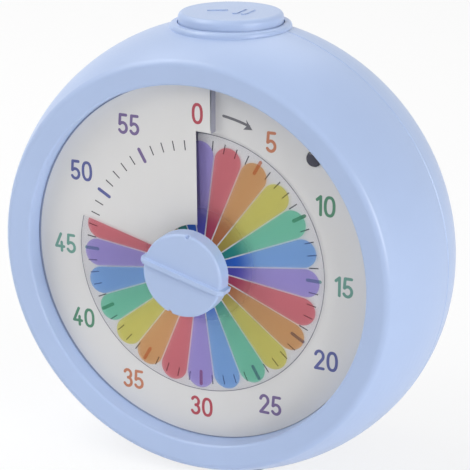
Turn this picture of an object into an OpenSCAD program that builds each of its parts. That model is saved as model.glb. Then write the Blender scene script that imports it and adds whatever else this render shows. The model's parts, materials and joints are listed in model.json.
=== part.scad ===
// Visual timer: a drum on a flat base, with a rainbow disc that winds through a slit in its dial.
// Every piece is drawn round the dial axis (x right, y up, z towards the viewer, z = 0 at the dial)
// and stand() then sets the whole timer on the ground with +Z up and its face towards -Y.

/* [Body] */
// Widest diameter of the drum, at the seam
body_d = 144.4; // [138:0.2:152]
// Distance from the dial plane back to the seam between the shells
seam_depth = 22.2; // [21:0.1:25]
// Distance from the dial plane to the flat back
back_depth = 54.7; // [52:0.1:58]
// Radius of the drum's side in front of the seam
side_r = 62.3; // [56:0.1:75]
// Radius of the drum's side behind the seam
rear_side_r = 39.7; // [38:0.1:46]
// Rounding where the side turns into the flat back
back_round = 6; // [4:0.5:8]
// Wall thickness of both shells
wall = 2.4; // [2:0.1:2.8]
// Height of the dial axis over the flat under the drum
flat_drop = 66.8; // [66:0.1:69]
// Chamfer on both sides of the seam
seam_chamfer = 0.35; // [0.2:0.05:0.6]
// Height of the tongue that centres the rear shell in the front one
tongue_h = 2.5; // [1.5:0.1:4]
// Thickness of that tongue
tongue_t = 1.2; // [0.8:0.1:1.6]

/* [Bezel] */
// Diameter of the opening in front of the dial
open_d = 114.2; // [110:0.2:116]
// Height of the bezel's crest in front of the dial plane
crest_h = 7.7; // [6.5:0.1:9]
// Rounding of the bezel's outer edge
crest_round = 2.2; // [1.2:0.1:3]
// Slope of the bezel face down towards the dial, in degrees
bezel_slope = 10; // [4:0.5:14]
// Rounding of the bezel's inner lip
lip_round = 1; // [0.5:0.1:1.5]
// Wall thickness of the tube behind the inner lip
tube_t = 2.2; // [1.6:0.1:2.6]

/* [Dial] */
// Rise of the dial card over one turn
rise = 3; // [3:0.1:4.8]
// Thickness of the dial card
card_t = 0.13; // [0.1:0.01:0.13]
// Gap between the card's edge and the bezel tube
card_edge_gap = 0.3; // [0.3:0.1:1]
// Diameter of the hole in the middle of the card
card_hole_d = 26; // [22.4:0.2:30]
// How far right of the centre line the slit runs beyond the disc
slit_step = 4.9; // [2:0.1:6]
// Width of the slit in the card, in degrees
slit_deg = 0.5; // [0.3:0.1:1]
// Width of the ring that carries the card's rim
seat_w = 13; // [8:0.1:13]

/* [Disc] */
// Diameter of the rainbow disc
film_d = 82.8; // [80:0.2:86]
// Thickness of the disc
film_t = 0.08; // [0.05:0.01:0.08]
// Time that is set, in minutes
set_minutes = 47.5; // [5:0.5:53]
// Longest time that the knob sets, in minutes
longest_minutes = 55; // [54:0.5:55]
// Width of the cut in the disc, in degrees
film_cut_deg = 1; // [0.5:0.1:2]
// Diameter of the ledge that carries the disc
ledge_d = 18; // [16:0.2:21]
// Thickness of that ledge
ledge_t = 1; // [0.8:0.1:1.4]
// Diameter of the hub's core
hub_d = 10; // [8:0.2:12]

/* [Knob] */
// Diameter of the knob at its back rim
knob_d = 26.6; // [24:0.2:32]
// Distance from the dial plane to the knob's back rim
knob_back = 7.2; // [5.5:0.1:9]
// Thickness of the knob
knob_h = 5.2; // [4:0.1:8]
// Draft of the knob's side, from back rim to front rim
knob_draft = 0.1; // [0:0.1:1]
// Rounding of the knob's front edge
knob_round = 0.9; // [0.4:0.1:1.4]
// Wall thickness of the knob
knob_wall = 1.6; // [1.2:0.1:2]
// Thickness of the grip fin
fin_t = 1.3; // [1:0.1:3]
// How far the fin stands out of the knob's face
fin_proud = 1.3; // [0.8:0.1:3]
// How far the fin's ends stand out of the knob's side
fin_over = 1.1; // [0.4:0.1:2]

/* [Spindle] */
// Diameter of the spindle
spindle_d = 4; // [3.4:0.1:5]
// Radial running clearance of shafts in their holes
run_gap = 0.04; // [0.02:0.01:0.08]
// Radial clearance of parts that are pressed or glued on
seat_gap = 0.02; // [0.01:0.01:0.05]
// End float of the spindle
end_float = 0.3; // [0.2:0.05:0.5]
// Diameter of the spindle's collar, and of its bush's flange
spindle_collar_d = 10; // [9:0.2:12]
// Thickness of the spindle's collar, and of its bush's flange
spindle_collar_t = 0.8; // [0.6:0.1:1.2]
// Outer diameter of the bush
bush_d = 8; // [7:0.1:9]

/* [Gears] */
// Module of the gear teeth
gear_m = 0.8; // [0.75:0.01:0.82]
// Teeth of the drive wheel on the spindle
drive_teeth = 40; // [38:1:42]
// Teeth of the pinions
pinion_teeth = 16; // [15:1:17]
// Teeth of the idler's wheel
idler_teeth = 36; // [34:1:38]
// Face width of the wheels
gear_w = 2.4; // [1.8:0.1:2.6]
// Play between the flanks of meshing teeth
backlash = 0.2; // [0.15:0.01:0.3]
// Diameter of the idler's pin
idler_pin_d = 2.4; // [2:0.1:3]
// Diameter of the motor's shaft
motor_shaft_d = 2; // [1.6:0.1:2.4]
// Diameter of the motor's can
motor_d = 20; // [18:0.5:22]
// Length of the motor's can
motor_h = 10; // [8:0.5:12]

/* [Chassis] */
// Thickness of the chassis plate
plate_t = 2.2; // [1.8:0.1:2.6]
// Clearance between the chassis plate and the front shell
plate_gap = 1.4; // [0.8:0.1:2]
// Wall thickness of the movement case
case_t = 2; // [1.6:0.1:2.4]
// Outer radius of the screw bosses in the front shell
boss_r = 2.8; // [2.6:0.1:3]
// Outer radius of the posts that join the rear shell to the chassis
post_r = 3.6; // [3.4:0.1:3.9]
// Where the posts' two halves meet, behind the dial plane
post_meet = 24; // [22:0.5:30]

/* [Button] */
// Diameter of the button cap
cap_d = 32.2; // [30:0.2:33]
// Height of the cap's top over the drum's top
cap_top = 2.2; // [1:0.1:3.3]
// Height of the collar's top over the drum's top, below it when negative
collar_top = -1; // [-1.4:0.1:-0.2]
// Outer diameter of the collar
collar_d = 37.4; // [37:0.2:39]
// Gap between the cap and the collar
cap_gap = 0.35; // [0.2:0.05:0.6]
// Travel of the button
button_travel = 1.5; // [1:0.1:1.9]
// Rounding of the cap's top edge
cap_round = 1.6; // [1:0.1:2.2]
// Wall thickness of the cap
cap_wall = 1.6; // [1.4:0.1:2]
// Diameter of the cap's stem
stem_d = 6; // [5:0.2:7]

/* [Power] */
// Diameter of a cell
cell_d = 14.5; // [14:0.1:14.6]
// Length of a cell with its nub
cell_l = 50.5; // [49:0.1:51]
// Height of the battery compartment's middle over the dial axis, below it when negative
cells_y = -20.5; // [-22:0.1:-19.5]
// Width of the battery door
door_w = 72; // [70.6:0.2:74]
// Height of the battery door
door_h = 37; // [36:0.2:39]
// Gap round the battery door
door_gap = 0.3; // [0.2:0.05:0.5]
// Corner rounding of the battery door
door_round = 4; // [2:0.5:6]

/* [Electronics] */
// Height of the circuit board's underside over the drum's top, below it when negative
board_y = -24.2; // [-24.6:0.1:-23.2]
// Width of the circuit board
board_w = 48; // [46:0.5:49]
// Thickness of the circuit boards
board_t = 1.6; // [1:0.1:1.8]
// Diameter of the indicator lamp
lamp_d = 4.4; // [3:0.1:5]
// Distance of the lamp from the dial axis
lamp_r = 52.8; // [51:0.1:53]
// Position of the lamp, in degrees clockwise from the top
lamp_deg = 44.6; // [42:0.1:47]
// Diameter of the speaker
speaker_d = 30; // [28:0.5:31]
// Height of the speaker over the dial axis
speaker_y = 22; // [20:0.5:23]
// Width of a slot in the speaker grille
grille_slot = 1.6; // [1:0.1:2]
// Distance between the grille's slots
grille_pitch = 3.2; // [2.8:0.1:4]
// Travel of the sound switch to each side
switch_travel = 2.5; // [1.5:0.1:3]

/* [Feet] */
// Diameter of a foot pad
foot_d = 9; // [6:0.5:10]
// Thickness of a foot pad
foot_t = 1.2; // [0.8:0.1:2]
// Distance between the left and right feet
foot_span_x = 30; // [24:0.5:32]
// Distance of the feet in front of and behind the seam
foot_span_z = 14; // [9:0.5:15]

/* [Hidden] */
$fn = 96;

shell_blue = [0.70, 0.77, 0.93];
dial_white = [0.90, 0.90, 0.91];
film_tint = [0.75, 0.60, 0.80, 0.6];
steel = [0.72, 0.73, 0.75];
brass = [0.80, 0.66, 0.36];
gear_white = [0.93, 0.92, 0.88];
board_green = [0.16, 0.42, 0.27];
cell_grey = [0.30, 0.32, 0.36];
dark_grey = [0.18, 0.18, 0.20];

// Overlap that joins the shapes of one piece, and overrun of a cut past a face
eps = 0.5;
cut = 1;

body_r = body_d / 2;
open_r = open_d / 2;
seam_z = -seam_depth;
back_z = -back_depth;

// Front side curve, and the roundings that touch it
side_c = [body_r - side_r, seam_z];
crest_z = crest_h - crest_round;
crest_c = [side_c[0] + sqrt(pow(side_r - crest_round, 2) - pow(crest_z - seam_z, 2)), crest_z];
crest_a = atan2(crest_c[1] - side_c[1], crest_c[0] - side_c[0]);
face_end = crest_c + crest_round * [-sin(bezel_slope), cos(bezel_slope)];
face_run = (face_end[0] + lip_round * sin(bezel_slope) - open_r - lip_round) / cos(bezel_slope);
lip_c = [open_r + lip_round, face_end[1] - face_run * sin(bezel_slope) - lip_round * cos(bezel_slope)];
cavity_top = lip_c[1] + lip_round - wall;

// Rear side curve: upright at the seam, and touching the rounding of the flat back
back_run = back_depth - seam_depth - back_round;
rear_c = [body_r - rear_side_r, seam_z];
back_r = rear_c[0] + sqrt(pow(rear_side_r - back_round, 2) - pow(back_run, 2));
back_c = [back_r, back_z + back_round];
back_a = atan2(back_c[1] - rear_c[1], back_c[0] - rear_c[0]);
tongue_gap = 0.15;
tongue_root = 3;

// Helical dial and disc
set_deg = set_minutes * 6;
longest_deg = longest_minutes * 6;
film_least = rise * (360 - longest_deg) / 720;
film_lead = film_least + rise * (longest_deg - set_deg) / 360;
film_low = -rise / 2 + rise * (set_deg - 360) / 360 + film_lead;
film_start = set_deg - 360 + film_cut_deg;
film_sweep = 360 - film_cut_deg;
glue_gap = 0.05;
card_r = open_r - card_edge_gap;
film_r = film_d / 2;
seat_r = card_r - seat_w;
slit_gap = 0.8;
slit_r = film_r + slit_gap;
slit_turn = 0.2;
sheet_steps = 90;

// Levels behind the dial, from the front to the back
ledge_gap = 0.2;
stack_gap = 0.05;
washer_t = 0.7;
clip_t = 0.6;
layer_gap = 0.6;
floor_gap = 1.6;
hub_bottom = film_low - film_t / 2 - ledge_t - ledge_gap;
plate_z = hub_bottom - end_float - spindle_collar_t;
plate_back = plate_z - plate_t;
bush_out = 0.4;
bush_end = plate_back - bush_out;
collar_z = bush_end - end_float;
drive_z = collar_z - spindle_collar_t - stack_gap;
washer_z = drive_z - gear_w - stack_gap;
clip_z = washer_z - washer_t - stack_gap;
layer_b = clip_z - clip_t - layer_gap;
case_floor = layer_b - gear_w - floor_gap;
case_back = case_floor - case_t;
groove_deep = 0.5;

// Gear centres
drive_r = gear_m * drive_teeth / 2;
pinion_r = gear_m * pinion_teeth / 2;
idler_r = gear_m * idler_teeth / 2;
pressure_deg = 20;
tooth_out = 0.9 * gear_m;
tooth_in = 1.2 * gear_m;
idler_at = [-(drive_r + pinion_r), 0];
idler_boss_t = 1.6;
idler_foot = 1;
pin_seat = 1.6;
motor_dir = 60;
motor_at = idler_at + (idler_r + pinion_r) * [cos(motor_dir), sin(motor_dir)];

// Screws: shank, holes and head
screw_r = 1.45;
small_screw_r = 1;
pilot_gap = 0.05;
through_gap = 0.2;
head_r = 2.5;
small_head_r = 1.9;
head_t = 1.6;
head_gap = 0.4;
recess_w = 0.6;
recess_t = 0.8;

// Movement case outline round the wheels, and the ears of case and motor
case_gap = 0.8;
case_lo = [
    idler_at[0] - idler_r - tooth_out - case_gap - case_t,
    -drive_r - tooth_out - case_gap - case_t
];
case_hi = [
    drive_r + tooth_out + case_gap + case_t,
    motor_at[1] + pinion_r + tooth_out + case_gap + case_t
];
case_round = 3.5;
ear_r = 2.6;
ear_in = ear_r + 0.9;
case_screws = [
    for (x = [case_lo[0] + ear_in, case_hi[0] - ear_in])
        for (y = [case_lo[1] + ear_in, case_hi[1] - ear_in]) [x, y]
];
motor_ear_t = 1;
motor_ears = [for (s = [-1, 1]) [s * (motor_d / 2 + 3.2), 0]];

// Button
cap_y = body_r + cap_top;
collar_y = body_r + collar_top;
cap_r = cap_d / 2;
stem_r = stem_d / 2;
lip_r = cap_r + cap_gap;
lip_h = 4;
flange_out = 0.55;
flange_gap = 0.3;
flange_t = 1.4;
flange_r = lip_r + flange_out;
well_r = flange_r + flange_gap;
collar_r = collar_d / 2;
collar_round = 1.2;
spring_room = 2;
well_floor_t = 2;
stem_out = 1.5;
tact_gap = 0.2;
lip_bottom = collar_y - lip_h;
flange_top = lip_bottom - flange_gap;
flange_bottom = flange_top - flange_t;
well_floor = flange_bottom - button_travel - spring_room;
well_bottom = well_floor - well_floor_t;
stem_bottom = well_bottom - stem_out;
tact_top = stem_bottom - button_travel - tact_gap;
spring_r = stem_r + 2;
spring_wire = 0.4;
spring_turns = 4;

// Battery compartment
cell_slack = 0.3;
contact_l = 5;
contact_room = 2.5;
bay_w = cell_l + contact_l + contact_room;
bay_h = 2 * cell_d + 4 * cell_slack;
bay_t = 1.6;
door_in = back_z + wall;
bay_floor = door_in + cell_d + 2 * cell_slack;
ledge_over = 2;
ledge_depth = 1.6;
door_screw_in = 3.1;
door_screw_x = bay_w / 2 + door_screw_in;
door_tab_wall = 0.8;
door_tab_r = head_r + head_gap + door_tab_wall;
door_screw_l = 7;
door_boss_r = 3;
door_boss_h = door_screw_l + 2;
door_peg_r = 1.2;
door_peg_y = 8;
cell_z = door_in + cell_slack + cell_d / 2;
cell_nub_r = 2.6;
cell_nub_l = 1;
cell_x0 = -bay_w / 2 + contact_l;

// Circuit board under the button, with the sound switch at its rear edge
board_under = body_r + board_y;
board_top = board_under + board_t;
board_front = plate_back - 2;
board_back = back_z + wall + 2.6;
bracket_x = 20;
bracket_w = 5;
bracket_h = 4;
gusset_h = 12;

// Bosses for the chassis, and posts beside the board and beside the battery door
boss_gap = 0.7;
boss_at = open_r + tube_t + boss_gap + boss_r;
boss_degs = [45, 135, 225, 315];
boss_hole_end = cavity_top - 1;
plate_r = side_inner(plate_z) - plate_gap;
plate_flat_gap = 0.4;
plate_well_gap = 1.6;
post_edge = 0.2;
post_gap = 0.5;
post_ring = back_r - post_r - post_edge;
post_high = board_w / 2 + post_r + 2 * post_gap;
post_low = door_w / 2 + ledge_over + post_r + post_gap;
posts = [
    for (s = [1, -1])
        each [
            [s * post_high, sqrt(pow(post_ring, 2) - pow(post_high, 2))],
            [s * post_low, -sqrt(pow(post_ring, 2) - pow(post_low, 2))]
        ]
];
post_floor = post_meet + 6;
board_screw_z = [board_front - 5, -post_floor - 4];
board_screw_l = 4.4;

switch_w = 2 * switch_travel + 5.6;
switch_h = 4.4;
switch_deep = 6;
switch_y = board_under - switch_h / 2;
switch_face = back_z + wall + 0.6;
lever_w = 3.4;
lever_h = 2.2;
lever_gap = 0.3;
lever_sink = 0.3;
lever_in = 1.9;
switch_slot_w = lever_w + 2 * switch_travel + 2 * lever_gap;
switch_slot_h = lever_h + 2 * lever_gap;

// Lamp and speaker
lamp_at = lamp_r * [sin(lamp_deg), cos(lamp_deg)];
lamp_gap = 0.2;
lamp_flange = 0.5;
lamp_flange_t = 1;
lamp_dome = 0.9;
lamp_board_w = 8;
lamp_board_z = plate_back - lamp_flange_t;
peg_r = 0.8;
peg_out = 0.8;
lamp_pegs = [for (s = [-1, 1]) lamp_at + s * (lamp_board_w / 2 - 1.2) * [1, -1]];
grille_r = speaker_d / 2 - 3.5;
speaker_h = 6;
ring_gap = 0.3;
ring_t = 1.2;
ring_h = 3;

// Stand: the knob's fin is the foremost point and the flat back the rearmost
fin_front = knob_back + knob_h + fin_proud;
axis_h = flat_drop + foot_t;
foot_r = foot_d / 2;
foot_x = foot_span_x / 2;
foot_chamfer = 0.4;
foot_wall_r = rear_c[0] + sqrt(pow(rear_side_r - wall, 2) - pow(foot_span_z, 2));
foot_boss_top = max(-flat_drop + wall, -sqrt(pow(foot_wall_r, 2) - pow(foot_x, 2)));

// Inner radius of the front shell at a level
function side_inner(z) = side_c[0] + sqrt(pow(side_r - wall, 2) - pow(z - seam_z, 2));

// Points along an arc, in degrees
function arc(c, r, a0, a1, n) = [
    for (i = [0 : n]) c + r * [cos(a0 + (a1 - a0) * i / n), sin(a0 + (a1 - a0) * i / n)]
];

// Level of the card at an angle clockwise from the slit
function card_z(a) = -rise / 2 + rise * a / 360;

// Half angle of a gear tooth at radius r
function involute(r_base, r) = let (a = acos(min(1, r_base / r))) tan(a) * 180 / PI - a;
function tooth_half(teeth, r_pitch, r) =
    let (r_base = r_pitch * cos(pressure_deg))
    90 / teeth - backlash / 4 / r_pitch * 180 / PI + involute(r_base, r_pitch)
    - involute(r_base, max(r, r_base));

module stand() {
    translate([0, (fin_front - back_depth) / 2, axis_h]) rotate([90, 0, 0]) children();
}

// Cylinder between two levels along the dial axis
module rod(r, z0, z1) {
    translate([0, 0, min(z0, z1)]) cylinder(r = r, h = abs(z1 - z0));
}

// Hole between two levels, run past both
module hole(r, z0, z1) {
    rod(r, min(z0, z1) - cut, max(z0, z1) + cut);
}

// Block between two corners
module block(a, b) {
    translate([min(a[0], b[0]), min(a[1], b[1]), min(a[2], b[2])])
        cube([abs(b[0] - a[0]), abs(b[1] - a[1]), abs(b[2] - a[2])]);
}

// Rectangle with round corners, about its middle
module round_rect(w, h, r) {
    square([w - 2 * r, h], center = true);
    square([w, h - 2 * r], center = true);
    for (x = [-1, 1])
        for (y = [-1, 1])
            translate([x * (w / 2 - r), y * (h / 2 - r)]) circle(r);
}

// Everything above a level over the base
module above(y) {
    translate([-2 * body_r, y, -2 * body_r]) cube(4 * body_r);
}

// The half of space over the dial axis, in front of or behind the seam
module top_half(front) {
    block([-2 * body_r, 0, seam_z], [2 * body_r, 2 * body_r, front ? 2 * body_r : -2 * body_r]);
}

// Turns a shape from the dial axis to the button's upright axis
module upright() {
    translate([0, 0, seam_z]) rotate([-90, 0, 0]) children();
}

// Turns a shape so that its axis points down from the circuit board
module downward() {
    rotate([90, 0, 0]) children();
}

// Sheet on the card's helix, or a ramp under it when flat_back is given: one ring of points for
// each radius in r, starting at the angle in a0 with the same place in the list
module helicoid(r, a0, sweep, z_shift, below, over, flat_back) {
    m = len(r);
    n = sheet_steps + 1;
    a = [for (j = [0 : m - 1]) [for (i = [0 : sheet_steps]) a0[j] + sweep * i / sheet_steps]];
    back = [
        for (j = [0 : m - 1])
            for (i = [0 : sheet_steps])
                [r[j] * sin(a[j][i]), r[j] * cos(a[j][i]),
                 is_undef(flat_back) ? card_z(a[j][i]) + z_shift - below : flat_back]
    ];
    front = [
        for (j = [0 : m - 1])
            for (i = [0 : sheet_steps])
                [r[j] * sin(a[j][i]), r[j] * cos(a[j][i]), card_z(a[j][i]) + z_shift + over]
    ];
    f = m * n;
    last = (m - 1) * n;
    faces = [
        for (j = [0 : m - 2])
            for (i = [0 : sheet_steps - 1])
                let (p = j * n + i, q = p + n)
                each [
                    [f + p, f + q, f + q + 1], [f + p, f + q + 1, f + p + 1],
                    [p, p + 1, q + 1], [p, q + 1, q]
                ],
        for (i = [0 : sheet_steps - 1])
            each [
                [f + i, f + i + 1, i + 1], [f + i, i + 1, i],
                [f + last + i + 1, f + last + i, last + i], [f + last + i + 1, last + i, last + i + 1]
            ],
        for (j = [0 : m - 2])
            let (p = j * n, q = p + n, e = sheet_steps)
            each [
                [f + q, f + p, p], [f + q, p, q],
                [f + p + e, f + q + e, q + e], [f + p + e, q + e, p + e]
            ]
    ];
    polyhedron(points = concat(back, front), faces = faces);
}

// Round wire wound from radius r0 to r1 over height h
module coil(r0, r1, wire_r, h, turns) {
    sides = 6;
    rings = turns * 16;
    points = [
        for (k = [0 : rings])
            let (a = 360 * turns * k / rings, r = r0 + (r1 - r0) * k / rings)
            for (s = [0 : sides - 1])
                let (b = 360 * s / sides, q = r + wire_r * cos(b))
                [q * cos(a), q * sin(a), h * k / rings + wire_r * sin(b)]
    ];
    faces = [
        [for (s = [sides - 1 : -1 : 0]) s],
        [for (s = [0 : sides - 1]) rings * sides + s],
        for (k = [0 : rings - 1])
            for (s = [0 : sides - 1])
                let (p = k * sides + s, q = k * sides + (s + 1) % sides)
                each [[p, q + sides, p + sides], [p, q, q + sides]]
    ];
    polyhedron(points = points, faces = faces);
}

// Spur gear outline with a tooth on the x axis
module gear_outline(teeth) {
    r_pitch = gear_m * teeth / 2;
    root_over = 0.02;
    radii = [
        r_pitch - tooth_in, r_pitch * cos(pressure_deg) + root_over, r_pitch, r_pitch + tooth_out
    ];
    polygon([
        for (k = [0 : teeth - 1])
            let (c = 360 * k / teeth)
            each concat(
                [for (r = radii) let (a = c - tooth_half(teeth, r_pitch, r)) r * [cos(a), sin(a)]],
                [for (i = [3 : -1 : 0])
                    let (r = radii[i], a = c + tooth_half(teeth, r_pitch, r)) r * [cos(a), sin(a)]]
            )
    ]);
}

module gear(teeth, z_front, width, turn) {
    translate([0, 0, z_front - width]) linear_extrude(width) rotate(turn) gear_outline(teeth);
}

// Screw along the dial axis: head behind z_seat, shank in front of it, cross recess in the head
module screw(r, r_head, z_seat, length) {
    z_head = z_seat - head_t;
    recess_l = 0.6 * r_head;
    difference() {
        union() {
            rod(r, z_seat - eps, z_seat + length);
            rod(r_head, z_head, z_seat);
        }
        for (a = [0, 90])
            rotate(a) block([-recess_w / 2, -recess_l, z_head - cut],
                            [recess_w / 2, recess_l, z_head + recess_t]);
    }
}

// Outside of the button's well, with the collar's rounded rim
module well_outside() {
    upright() rotate_extrude() polygon(concat(
        [[0, well_bottom], [collar_r, well_bottom]],
        arc([collar_r - collar_round, collar_y - collar_round], collar_round, 0, 90, 6),
        [[0, collar_y]]
    ));
}

module well_inside() {
    upright() {
        rod(lip_r, lip_bottom - eps, collar_y + cut);
        rod(well_r, well_floor, lip_bottom);
        rod(stem_r + cap_gap, well_bottom - cut, well_floor + eps);
    }
}

module front_outside() {
    start = asin(seam_chamfer / side_r);
    rotate_extrude() polygon(concat(
        [[open_r, seam_z], [body_r - seam_chamfer, seam_z]],
        arc(side_c, side_r, start, crest_a, 12),
        arc(crest_c, crest_round, crest_a + 6, 90 + bezel_slope, 9),
        arc(lip_c, lip_round, 90 + bezel_slope, 180, 6)
    ));
}

module front_cavity() {
    r = side_r - wall;
    rotate_extrude() polygon(concat(
        [[open_r - tube_t, seam_z - cut], [body_r - wall, seam_z - cut]],
        arc(side_c, r, 0, asin((cavity_top - seam_z) / r), 10),
        [[open_r + tube_t, cavity_top], [open_r + tube_t, plate_z], [open_r - tube_t, plate_z]]
    ));
}

// Places a shape on the base at the left and right foot, in front of the seam or behind it
module each_foot(side) {
    for (x = [-foot_x, foot_x])
        translate([x, -flat_drop, seam_z + side * foot_span_z]) downward() children();
}

// Bosses over the feet, from the flat up into the drum's wall
module foot_bosses(side) {
    each_foot(side) rod(foot_r, 0, -flat_drop - foot_boss_top);
}

// Front shell: bezel, side and half of the button's collar in one moulding
module front_shell() {
    color(shell_blue) stand() difference() {
        union() {
            difference() {
                intersection() {
                    front_outside();
                    above(-flat_drop);
                }
                intersection() {
                    front_cavity();
                    above(-flat_drop + wall);
                }
            }
            foot_bosses(1);
            for (a = boss_degs)
                rotate(a) translate([boss_at, 0, 0]) rod(boss_r, plate_z, cavity_top + eps);
            intersection() {
                well_outside();
                top_half(true);
            }
        }
        well_inside();
        for (a = boss_degs)
            rotate(a) translate([boss_at, 0, 0]) rod(small_screw_r + pilot_gap, plate_z - cut, boss_hole_end);
    }
}

module rear_outside() {
    start = asin(seam_chamfer / rear_side_r);
    rotate_extrude() polygon(concat(
        [[0, seam_z], [0, back_z]],
        arc(back_c, back_round, -90, back_a, 8),
        arc(rear_c, rear_side_r, back_a + 4, -start, 12),
        [[body_r - seam_chamfer, seam_z]]
    ));
}

module rear_cavity() {
    rotate_extrude() polygon(concat(
        [[0, seam_z + cut], [0, back_z + wall]],
        arc(back_c, back_round - wall, -90, back_a, 6),
        arc(rear_c, rear_side_r - wall, back_a + 4, 0, 10),
        [[body_r - wall, seam_z + cut]]
    ));
}

// Tongue of the rear shell, left open round the button's well
module tongue() {
    r_out = body_r - wall - tongue_gap;
    r_in = r_out - tongue_t;
    well_room = collar_r + cut;
    difference() {
        intersection() {
            rotate_extrude() polygon([
                [r_in, seam_z + tongue_h], [r_in, seam_z - tongue_root],
                [r_out, seam_z - tongue_root - tongue_t], [r_out + eps, seam_z - tongue_root],
                [r_out + eps, seam_z], [r_out, seam_z], [r_out, seam_z + tongue_h]
            ]);
            above(-flat_drop + wall + tongue_gap);
        }
        block([-well_room, 0, 2 * seam_z], [well_room, 2 * body_r, 0]);
    }
}

module speaker_slots() {
    rows = floor(grille_r / grille_pitch);
    for (i = [-rows : rows]) {
        half = sqrt(pow(grille_r, 2) - pow(i * grille_pitch, 2)) - grille_slot / 2;
        translate([0, speaker_y + i * grille_pitch, back_z - cut]) linear_extrude(wall + 2 * cut) {
            square([2 * half, grille_slot], center = true);
            for (x = [-half, half]) translate([x, 0]) circle(grille_slot / 2);
        }
    }
}

// Outline of the battery door with its screw tab, grown for the cut-out and the ledge
module door_outline(grow) {
    round_rect(door_w + 2 * grow, door_h + 2 * grow, door_round + grow);
    translate([door_screw_x, 0]) circle(door_tab_r + grow);
}

// Round sockets for the door's pegs, and the pegs themselves with no gap
module door_pegs(gap, z0, z1) {
    for (y = [-door_peg_y, door_peg_y])
        translate([-door_screw_x, cells_y + y]) rod(door_peg_r + gap, z0, z1);
}

// Rear shell: side, flat back with its openings, battery compartment and posts
module rear_shell() {
    color(shell_blue) stand() difference() {
        union() {
            difference() {
                intersection() {
                    rear_outside();
                    above(-flat_drop);
                }
                intersection() {
                    rear_cavity();
                    above(-flat_drop + wall);
                }
            }
            foot_bosses(-1);
            tongue();
            intersection() {
                well_outside();
                top_half(false);
            }
            for (p = posts) translate(p) rod(post_r, back_z + eps, -post_meet);
            translate([0, cells_y, door_in - eps]) {
                linear_extrude(ledge_depth + eps) door_outline(ledge_over);
                linear_extrude(bay_floor - door_in + bay_t + eps)
                    square([bay_w + 2 * bay_t, bay_h + 2 * bay_t], center = true);
                for (s = [1, -1])
                    translate([s * door_screw_x, 0]) cylinder(r = door_boss_r, h = door_boss_h + eps);
            }
            translate([0, speaker_y]) difference() {
                rod(speaker_d / 2 + ring_gap + ring_t, door_in - eps, door_in + ring_h);
                rod(speaker_d / 2 + ring_gap, door_in - eps, door_in + ring_h + cut);
            }
        }
        well_inside();
        for (p = posts) translate(p) {
            hole(screw_r + pilot_gap, back_z, -post_meet);
            rod(head_r + head_gap, back_z - cut, -post_floor);
        }
        translate([0, cells_y, back_z - cut]) linear_extrude(wall + cut) door_outline(door_gap);
        translate([0, cells_y, door_in - cut]) linear_extrude(bay_floor - door_in + cut)
            square([bay_w, bay_h], center = true);
        translate([door_screw_x, cells_y])
            rod(screw_r + pilot_gap, door_in - cut, door_in + door_screw_l + cut);
        door_pegs(through_gap, door_in - cut, door_in + ledge_depth + cut);
        speaker_slots();
        translate([0, switch_y, back_z - cut]) linear_extrude(wall + 2 * cut)
            round_rect(switch_slot_w, switch_slot_h, lever_h / 3);
    }
}

// Chassis plate: carries dial, movement, board and rear shell
module chassis_plate() {
    bracket_end = board_screw_z[1] - 4;
    color(gear_white) stand() difference() {
        union() {
            intersection() {
                rod(plate_r, plate_back, plate_z);
                block([-plate_r, -flat_drop + wall + plate_flat_gap, plate_back - cut],
                      [plate_r, well_bottom - plate_well_gap, plate_z + cut]);
            }
            for (p = posts) translate(p) rod(post_r, plate_back + eps, -post_meet);
            for (x = [-1, 1]) translate([x * bracket_x, 0]) {
                block([-bracket_w / 2, board_under - bracket_h, plate_back + eps],
                      [bracket_w / 2, board_under, bracket_end]);
                translate([bracket_w / 2, 0]) rotate([0, -90, 0]) linear_extrude(bracket_w) polygon([
                    [plate_back + eps, board_under - gusset_h], [plate_back + eps, board_under - cut],
                    [bracket_end + cut, board_under - cut], [bracket_end + cut, board_under - bracket_h]
                ]);
            }
            for (p = lamp_pegs)
                translate(p) rod(peg_r, plate_back + eps, lamp_board_z - board_t - peg_out);
        }
        hole(bush_d / 2 + seat_gap, plate_back, plate_z);
        translate(idler_at) rod(idler_pin_d / 2 + seat_gap, plate_back - cut, plate_back + pin_seat);
        translate(lamp_at) hole(lamp_d / 2 + lamp_gap, plate_back, plate_z);
        for (a = boss_degs)
            rotate(a) translate([boss_at, 0, 0]) hole(small_screw_r + through_gap, plate_back, plate_z);
        for (p = posts) translate(p) rod(screw_r + pilot_gap, -post_meet - cut, plate_back);
        for (p = case_screws)
            translate(p) rod(small_screw_r + pilot_gap, plate_back - cut, plate_z - 0.25 * plate_t);
        for (x = [-bracket_x, bracket_x])
            for (z = board_screw_z)
                translate([x, board_under + cut, z]) downward()
                    cylinder(r = small_screw_r + pilot_gap, h = cut + bracket_h);
    }
}

// Ring with the helical seat under the card's rim
module dial_seat() {
    inset = 0.3;
    ramp_least = 0.5;
    step_back = 0.8;
    radii = [slit_r + slit_turn + inset, (seat_r + card_r) / 2, card_r - inset];
    starts = [for (r = radii) asin(slit_step / r) + slit_deg / 2];
    turn = 360 - slit_deg - asin(step_back / card_r);
    base_z = -rise / 2 - card_t / 2 - glue_gap - ramp_least;
    color(shell_blue) stand() difference() {
        union() {
            difference() {
                rod(card_r, plate_z, base_z);
                hole(seat_r, plate_z, base_z);
            }
            helicoid(radii, starts, turn, 0, 0, -card_t / 2 - glue_gap, base_z - inset);
        }
        translate(lamp_at) rod(lamp_d / 2 + lamp_gap, plate_z - cut, rise);
    }
}

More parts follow.
